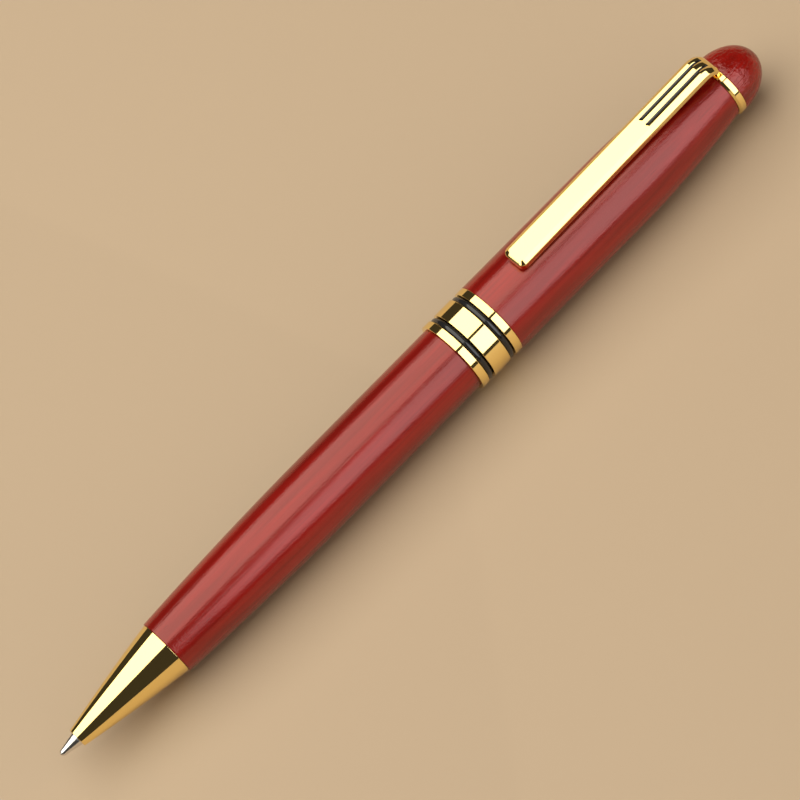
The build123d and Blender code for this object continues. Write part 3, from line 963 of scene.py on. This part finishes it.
class PEN_OT_spring(bpy.types.Operator):
    """Makes the return spring at its CAD length; the real spring shortens between its seat and the
    refill's shoulder
    """

    bl_idname = "twist_pen.spring"
    bl_label = "Return spring"

    def execute(self, context):
        size = context.scene.pen_sizes
        low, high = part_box("return_spring")
        wire = size.spring_wire
        coil = (high.y - low.y) / 2 - wire
        # The wire's centre runs along a helix, flatter over the first and last half turn,
        # and a circle a little smaller than the wire is carried along it, square to it
        share = np.linspace(0, 1, 420)
        even = np.clip((share * size.spring_turns - 0.5) / (size.spring_turns - 1), 0, 1)
        flat_share = 0.12
        x_share = flat_share * share + (1 - flat_share) * even
        x = low.x + wire + (high.x - low.x - 2 * wire) * x_share
        angle = 2 * pi * size.spring_turns * share
        centre = np.stack([x, coil * np.sin(angle), AXIS_Z + coil * np.cos(angle)], -1)
        out = np.stack([0 * angle, np.sin(angle), np.cos(angle)], -1)
        tangent = np.gradient(centre, axis=0)
        tangent /= np.linalg.norm(tangent, axis=1)[:, None]
        side = np.cross(tangent, out)
        turn = np.linspace(0, 2 * pi, 14, endpoint=False)[None, :, None]
        circle = np.cos(turn) * out[:, None] + np.sin(turn) * side[:, None]
        tube = (centre[:, None] + wire * 0.985 * circle).reshape(-1, 3)
        faces = grid_faces(len(share), turn.size, False) + end_fans(len(tube), turn.size)
        points = np.vstack([tube, centre[:1], centre[-1:]])
        thing = face_outwards(mesh_object("return_spring_visual", points, faces))
        thing.data.materials.append(material_for("spring_steel"))
        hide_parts("return_spring")
        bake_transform(thing)
        return {"FINISHED"}


class PEN_OT_inside(bpy.types.Operator):
    """Gives each CAD piece inside the pen the material of its slot"""

    bl_idname = "twist_pen.inside"
    bl_label = "Pieces inside"

    def execute(self, context):
        slots = {row["node"]: row["material_slot"] for row in frame["record"]["subparts"]}
        for name, node in frame["nodes"].items():
            if node.hide_render:
                continue
            node.data.materials.clear()
            node.data.materials.append(material_for(slots[name]))
        return {"FINISHED"}


class PEN_OT_stage(bpy.types.Operator):
    """Makes the floor, the lights, the dim room and the camera"""

    bl_idname = "twist_pen.stage"
    bl_label = "Stage"

    def execute(self, context):
        context.scene.view_settings.view_transform = "Standard"
        context.scene.view_settings.look = "None"
        make_floor()
        make_lights()
        make_room()
        make_camera()
        return {"FINISHED"}


def make_floor():
    """A matt table top whose colour clouds a little."""
    look = bpy.context.scene.pen_stage
    reach = look.floor_reach
    corners = reach * np.array([(-1, -1, 0), (1, -1, 0), (1, 1, 0), (-1, 1, 0)])
    floor = mesh_object("floor", corners, [(0, 1, 2, 3)])
    material, tree, shader = new_material("table_top")
    shader.inputs["Roughness"].default_value = 0.7
    darker = [0.96 * part for part in look.floor]
    tone = mixed(tree, noise(tree, 9, 3), look.floor, darker)
    tree.links.new(tone, shader.inputs["Base Color"])
    floor.data.materials.append(material)


def make_lights():
    """A large panel overhead, which leans to the far side and reaches out past the nose, and a
    round lamp on the near side, towards the finial's end and a third of the way up. What they
    give to matt surfaces is set apart from how bright they are mirrored."""
    look = bpy.context.scene.pen_stage
    panel_out = aim(-look.panel_tilt, 0)
    panel_at = Vector((-look.panel_ahead, 0, AXIS_Z)) + look.panel_distance * panel_out
    panel = ("RECTANGLE", panel_at, panel_out, look.panel_length, look.panel_width)
    lamp_out = aim(look.lamp_tilt, look.lamp_turn)
    lamp = ("DISK", look.lamp_distance * lamp_out, lamp_out)
    rim = lamp + (2 * look.lamp_radius,) * 2
    core = lamp + (2 * look.core_radius,) * 2
    wide = lamp + (2 * look.fill_radius,) * 2
    soft_light("main_panel", panel, look.main_light, look.main_colour)
    soft_light("main_fill", panel, look.main_fill, look.main_colour, "visible_glossy")
    soft_light("side_lamp", rim, look.side_light, look.side_colour, "visible_diffuse")
    soft_light("side_lamp_core", core, look.side_light, look.side_colour, "visible_diffuse")
    soft_light("side_fill", wide, look.side_fill, look.fill_colour, "visible_glossy")


def standing(middle, right, up, out):
    """Matrix of a thing at a place with its own x, y and z axes along three directions."""
    return Matrix.Translation(middle) @ Matrix((right, up, out)).transposed().to_4x4()


def aim(from_zenith, along):
    """Direction from the pen: angle from the zenith towards the near side, and along the pen."""
    side, height = -sin(from_zenith), cos(from_zenith)
    return Vector((sin(along), side * cos(along), height * cos(along)))


def soft_light(name, shape, brightness, colour, unseen_as=None):
    """An area light of an even brightness, facing the pen, unseen by the camera and if wanted
    by one more kind of ray. Its shape says kind, middle, direction from the pen and two widths."""
    kind, middle, out, width, other_width = shape
    data = bpy.data.lights.new(name, "AREA")
    data.shape = kind
    data.size = width
    data.size_y = other_width
    data.color = colour
    filled = pi / 4 if kind == "DISK" else 1
    data.energy = 4 * brightness * filled * width * other_width
    thing = bpy.data.objects.new(name, data)
    side = (Vector((1, 0, 0)) - out * out.x).normalized()
    thing.matrix_world = standing(middle, side, out.cross(side), out)
    thing.visible_camera = False
    if unseen_as:
        setattr(thing, unseen_as, False)
    bpy.context.scene.collection.objects.link(thing)


def make_room():
    """A dim room round the lights, in place of which the camera sees the backdrop."""
    look = bpy.context.scene.pen_stage
    world = bpy.data.worlds.new("Room")
    bpy.context.scene.world = world
    world.use_nodes = True
    tree = world.node_tree
    path = add(tree, "ShaderNodeLightPath")
    seen = mixed(tree, path.outputs["Is Camera Ray"], look.room, look.backdrop)
    tree.links.new(seen, tree.nodes["Background"].inputs["Color"])


def make_camera():
    """The camera stands high on the near side, aimed at the pen's middle and rolled."""
    look = bpy.context.scene.pen_stage
    roll, tip = look.camera_turn, look.camera_tilt
    spot = Vector((
        TIP_X - look.camera_ahead,
        -look.camera_distance * sin(tip),
        AXIS_Z + look.camera_distance * cos(tip),
    ))
    aimed = Vector((
        TIP_X + look.aim_along,
        look.aim_up * cos(tip),
        AXIS_Z + look.aim_up * sin(tip),
    ))
    ahead = (aimed - spot).normalized()
    right = ahead.cross(Vector((0, 0, 1))).normalized()
    up = right.cross(ahead)
    turned_right = cos(roll) * right + sin(roll) * up
    turned_up = cos(roll) * up - sin(roll) * right
    camera = bpy.data.objects.new("camera", bpy.data.cameras.new("camera"))
    camera.data.lens = look.lens
    camera.data.sensor_width = 36
    camera.data.clip_start = 0.01
    camera.data.clip_end = 20
    camera.matrix_world = standing(spot, turned_right, turned_up, -ahead)
    bpy.context.scene.collection.objects.link(camera)
    bpy.context.scene.camera = camera


class PEN_PT_panel(bpy.types.Panel):
    """Lists the pen's operators and sizes"""

    bl_idname = "PEN_PT_panel"
    bl_label = "Twist Pen"
    bl_space_type = "VIEW_3D"
    bl_region_type = "UI"
    bl_category = "Twist Pen"

    def draw(self, context):
        for operator in OPERATORS:
            self.layout.operator(operator.bl_idname)
        for name in GROUPS:
            group = getattr(context.scene, name)
            box = self.layout.box()
            for key in group.bl_rna.properties.keys():
                if key not in ("rna_type", "name"):
                    box.prop(group, key, text=key.replace("_", " ").capitalize())


OPERATORS = (
    PEN_OT_nose, PEN_OT_tip, PEN_OT_barrels, PEN_OT_band, PEN_OT_finial, PEN_OT_clip,
    PEN_OT_spring, PEN_OT_inside, PEN_OT_stage,
)
GROUPS = {"pen_sizes": PenSizes, "pen_finishes": PenFinishes, "pen_stage": StageLook}


def register():
    """Registers the classes and hangs the sizes and colours on the scene."""
    for name, group in GROUPS.items():
        bpy.utils.register_class(group)
        setattr(bpy.types.Scene, name, PointerProperty(type=group))
    for kind in (*OPERATORS, PEN_PT_panel):
        bpy.utils.register_class(kind)


def unregister():
    """Takes everything back out again."""
    for kind in (PEN_PT_panel, *reversed(OPERATORS)):
        bpy.utils.unregister_class(kind)
    for name, group in GROUPS.items():
        delattr(bpy.types.Scene, name)
        bpy.utils.unregister_class(group)


def main():
    """Builds the pen and its stage."""
    register()
    for operator in OPERATORS:
        group, name = operator.bl_idname.split(".")
        result = getattr(getattr(bpy.ops, group), name)()
        if result != {"FINISHED"}:
            raise RuntimeError(f"{operator.bl_label} wasn't made")


if __name__ == "__main__":
    main()
